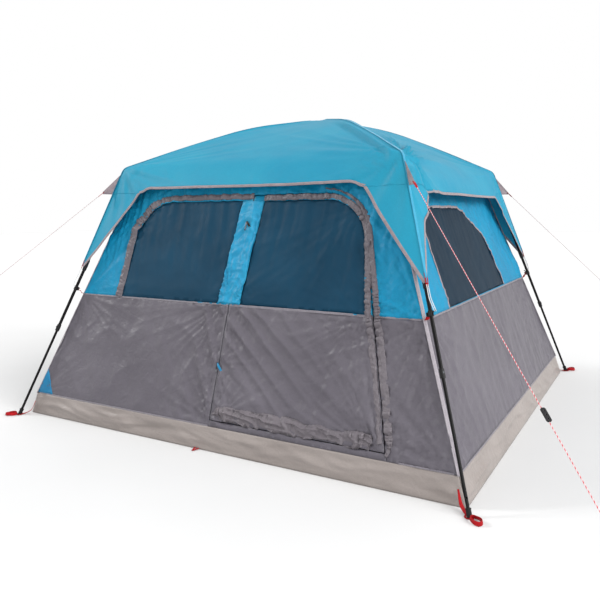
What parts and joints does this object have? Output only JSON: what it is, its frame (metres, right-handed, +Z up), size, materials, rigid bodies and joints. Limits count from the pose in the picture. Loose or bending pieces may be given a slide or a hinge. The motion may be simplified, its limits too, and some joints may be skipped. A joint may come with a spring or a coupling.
{
  "type": "pop up tent",
  "caption": "Cabin tent with a folding hub frame, telescopic legs, inner tent with windows and a zipped door, fly and guy lines.",
  "frame": {"origin": "centre of the ground under the tent", "axes": "+X to the right seen from the front, the front with the door faces -Y, +Z up"},
  "size_m": [3.8272, 3.9336, 1.9942],
  "materials": {
    "fly_cloth": "coated polyester taffeta, satin",
    "wall_cloth_blue": "polyester taffeta, satin",
    "wall_cloth_grey": "polyester taffeta, satin",
    "tub_cloth": "woven polyethylene, matt",
    "mesh_cloth": "fine mesh",
    "webbing": "woven webbing",
    "guy_cord": "braided cord with pale flecks",
    "coated_steel": "gloss powder coat",
    "black_plastic": "moulded, fine grain",
    "boot_rubber": "matt",
    "button_steel": "satin",
    "zip_metal": "satin"
  },
  "bodies": {
    "shelter": {"floor_sheet": "tub_cloth", "tub_skirt": "tub_cloth", "front_wall_lower": "wall_cloth_grey", "front_wall_upper": "wall_cloth_blue", "rear_wall_lower": "wall_cloth_grey", "rear_wall_upper": "wall_cloth_blue", "side_walls_lower": "wall_cloth_grey", "side_walls_upper": "wall_cloth_blue", "window_meshes": "mesh_cloth", "inner_ceiling": "mesh_cloth", "fly_roof": "fly_cloth", "fly_corner_flaps": "fly_cloth", "webbing_tabs": "webbing", "corner_straps": "webbing", "guy_line_front_left": "guy_cord", "guy_line_front_right": "guy_cord", "guy_line_rear_right": "guy_cord"},
    "roof_hub": {"hub_body": "black_plastic", "hub_cap": "black_plastic"},
    "door": {"door_panel": "wall_cloth_grey", "door_mesh": "mesh_cloth", "door_storm_flap": "wall_cloth_grey"},
    "zip_upper": {"zip_slider_upper": "zip_metal"},
    "zip_lower": {"zip_slider_lower": "zip_metal"},
    "arm_front_left": {"roof_arm_front_left": "coated_steel"},
    "leg_front_left": {"elbow_front_left": "black_plastic", "upper_leg_front_left": "coated_steel", "lock_collar_front_left": "black_plastic", "pole_clip_front_left": "black_plastic"},
    "foot_front_left": {"lower_leg_front_left": "coated_steel", "foot_boot_front_left": "boot_rubber"},
    "button_front_left": {"lock_button_front_left": "button_steel"},
    "arm_front_right": {"roof_arm_front_right": "coated_steel"},
    "leg_front_right": {"elbow_front_right": "black_plastic", "upper_leg_front_right": "coated_steel", "lock_collar_front_right": "black_plastic", "pole_clip_front_right": "black_plastic"},
    "foot_front_right": {"lower_leg_front_right": "coated_steel", "foot_boot_front_right": "boot_rubber"},
    "button_front_right": {"lock_button_front_right": "button_steel"},
    "arm_rear_right": {"roof_arm_rear_right": "coated_steel"},
    "leg_rear_right": {"elbow_rear_right": "black_plastic", "upper_leg_rear_right": "coated_steel", "lock_collar_rear_right": "black_plastic", "pole_clip_rear_right": "black_plastic"},
    "foot_rear_right": {"lower_leg_rear_right": "coated_steel", "foot_boot_rear_right": "boot_rubber"},
    "button_rear_right": {"lock_button_rear_right": "button_steel"},
    "arm_rear_left": {"roof_arm_rear_left": "coated_steel"},
    "leg_rear_left": {"elbow_rear_left": "black_plastic", "upper_leg_rear_left": "coated_steel", "lock_collar_rear_left": "black_plastic", "pole_clip_rear_left": "black_plastic"},
    "foot_rear_left": {"lower_leg_rear_left": "coated_steel", "foot_boot_rear_left": "boot_rubber"},
    "button_rear_left": {"lock_button_rear_left": "button_steel"},
    "tensioner_front_left": {"line_tensioner_front_left": "black_plastic"},
    "tensioner_front_right": {"line_tensioner_front_right": "black_plastic"},
    "tensioner_rear_right": {"line_tensioner_rear_right": "black_plastic"}
  },
  "joints": [
    {"name": "frame_fold", "type": "slide", "parent": "shelter", "child": "roof_hub", "axis": [0, 0, -1], "range_m": [0, 1.39], "deforming": ["tub_skirt", "front_wall_lower", "front_wall_upper", "rear_wall_lower", "rear_wall_upper", "side_walls_lower", "side_walls_upper", "window_meshes", "inner_ceiling", "fly_roof", "fly_corner_flaps", "webbing_tabs", "corner_straps", "door_panel", "door_mesh", "door_storm_flap", "zip_slider_upper", "zip_slider_lower", "guy_line_front_left", "guy_line_front_right", "guy_line_rear_right", "line_tensioner_front_left", "line_tensioner_front_right", "line_tensioner_rear_right"]},
    {"name": "arm_fold_front_left", "type": "hinge", "parent": "roof_hub", "child": "arm_front_left", "pos_m": [-0.03916, -0.03862, 1.928], "axis": [-0.7022, 0.712, 0], "range_deg": [0, 92.1]},
    {"name": "leg_fold_front_left", "type": "hinge", "parent": "arm_front_left", "child": "leg_front_left", "pos_m": [-0.94025, -0.92722, 1.61184], "axis": [-0.7022, 0.712, 0], "range_deg": [-121.1, 0]},
    {"name": "telescope_front_left", "type": "slide", "parent": "leg_front_left", "child": "foot_front_left", "axis": [0.3078, 0.3035, 0.9017], "range_m": [0, 0.56]},
    {"name": "button_press_front_left", "type": "slide", "parent": "leg_front_left", "child": "button_front_left", "axis": [0.6421, 0.6331, -0.4323], "range_m": [0, 0.0025], "stiffness_N_per_m": 400},
    {"name": "arm_fold_front_right", "type": "hinge", "parent": "roof_hub", "child": "arm_front_right", "pos_m": [0.03916, -0.03862, 1.928], "axis": [-0.7022, -0.712, 0], "range_deg": [0, 92.1]},
    {"name": "leg_fold_front_right", "type": "hinge", "parent": "arm_front_right", "child": "leg_front_right", "pos_m": [0.94025, -0.92722, 1.61184], "axis": [-0.7022, -0.712, 0], "range_deg": [-121.1, 0]},
    {"name": "telescope_front_right", "type": "slide", "parent": "leg_front_right", "child": "foot_front_right", "axis": [-0.3078, 0.3035, 0.9017], "range_m": [0, 0.56]},
    {"name": "button_press_front_right", "type": "slide", "parent": "leg_front_right", "child": "button_front_right", "axis": [-0.6421, 0.6331, -0.4323], "range_m": [0, 0.0025], "stiffness_N_per_m": 400},
    {"name": "arm_fold_rear_right", "type": "hinge", "parent": "roof_hub", "child": "arm_rear_right", "pos_m": [0.03916, 0.03862, 1.928], "axis": [0.7022, -0.712, 0], "range_deg": [0, 92.1]},
    {"name": "leg_fold_rear_right", "type": "hinge", "parent": "arm_rear_right", "child": "leg_rear_right", "pos_m": [0.94025, 0.92722, 1.61184], "axis": [0.7022, -0.712, 0], "range_deg": [-121.1, 0]},
    {"name": "telescope_rear_right", "type": "slide", "parent": "leg_rear_right", "child": "foot_rear_right", "axis": [-0.3078, -0.3035, 0.9017], "range_m": [0, 0.56]},
    {"name": "button_press_rear_right", "type": "slide", "parent": "leg_rear_right", "child": "button_rear_right", "axis": [-0.6421, -0.6331, -0.4323], "range_m": [0, 0.0025], "stiffness_N_per_m": 400},
    {"name": "arm_fold_rear_left", "type": "hinge", "parent": "roof_hub", "child": "arm_rear_left", "pos_m": [-0.03916, 0.03862, 1.928], "axis": [0.7022, 0.712, 0], "range_deg": [0, 92.1]},
    {"name": "leg_fold_rear_left", "type": "hinge", "parent": "arm_rear_left", "child": "leg_rear_left", "pos_m": [-0.94025, 0.92722, 1.61184], "axis": [0.7022, 0.712, 0], "range_deg": [-121.1, 0]},
    {"name": "telescope_rear_left", "type": "slide", "parent": "leg_rear_left", "child": "foot_rear_left", "axis": [0.3078, -0.3035, 0.9017], "range_m": [0, 0.56]},
    {"name": "button_press_rear_left", "type": "slide", "parent": "leg_rear_left", "child": "button_rear_left", "axis": [0.6421, -0.6331, -0.4323], "range_m": [0, 0.0025], "stiffness_N_per_m": 400},
    {"name": "door_swing", "type": "hinge", "parent": "shelter", "child": "door", "pos_m": [1.075, -1.39209, 0.175], "axis": [-0.2321, 0.3055, 0.9235], "range_deg": [0, 115]},
    {"name": "zip_upper_slide", "type": "slide", "parent": "shelter", "child": "zip_upper", "axis": [0.0795, 0.3131, 0.9464], "range_m": [-0.44, 0.12]},
    {"name": "zip_lower_slide", "type": "slide", "parent": "shelter", "child": "zip_lower", "axis": [0, 0.3141, 0.9494], "range_m": [-0.27, 0.29]},
    {"name": "tensioner_slide_front_left", "type": "slide", "parent": "shelter", "child": "tensioner_front_left", "axis": [-0.5576, -0.5499, -0.6219], "range_m": [-0.7, 0.07]},
    {"name": "tensioner_slide_front_right", "type": "slide", "parent": "shelter", "child": "tensioner_front_right", "axis": [0.5576, -0.5499, -0.6219], "range_m": [-0.7, 0.38]},
    {"name": "tensioner_slide_rear_right", "type": "slide", "parent": "shelter", "child": "tensioner_rear_right", "axis": [0.5576, 0.5499, -0.6219], "range_m": [-0.7, 0.06]}
  ],
  "couplings": [
    {"joint": "arm_fold_front_left", "follows": "frame_fold", "rad_per_m": 1.1552},
    {"joint": "leg_fold_front_left", "follows": "frame_fold", "rad_per_m": -1.5193},
    {"joint": "arm_fold_front_right", "follows": "frame_fold", "rad_per_m": 1.1552},
    {"joint": "leg_fold_front_right", "follows": "frame_fold", "rad_per_m": -1.5193},
    {"joint": "arm_fold_rear_right", "follows": "frame_fold", "rad_per_m": 1.1552},
    {"joint": "leg_fold_rear_right", "follows": "frame_fold", "rad_per_m": -1.5193},
    {"joint": "arm_fold_rear_left", "follows": "frame_fold", "rad_per_m": 1.1552},
    {"joint": "leg_fold_rear_left", "follows": "frame_fold", "rad_per_m": -1.5193}
  ]
}
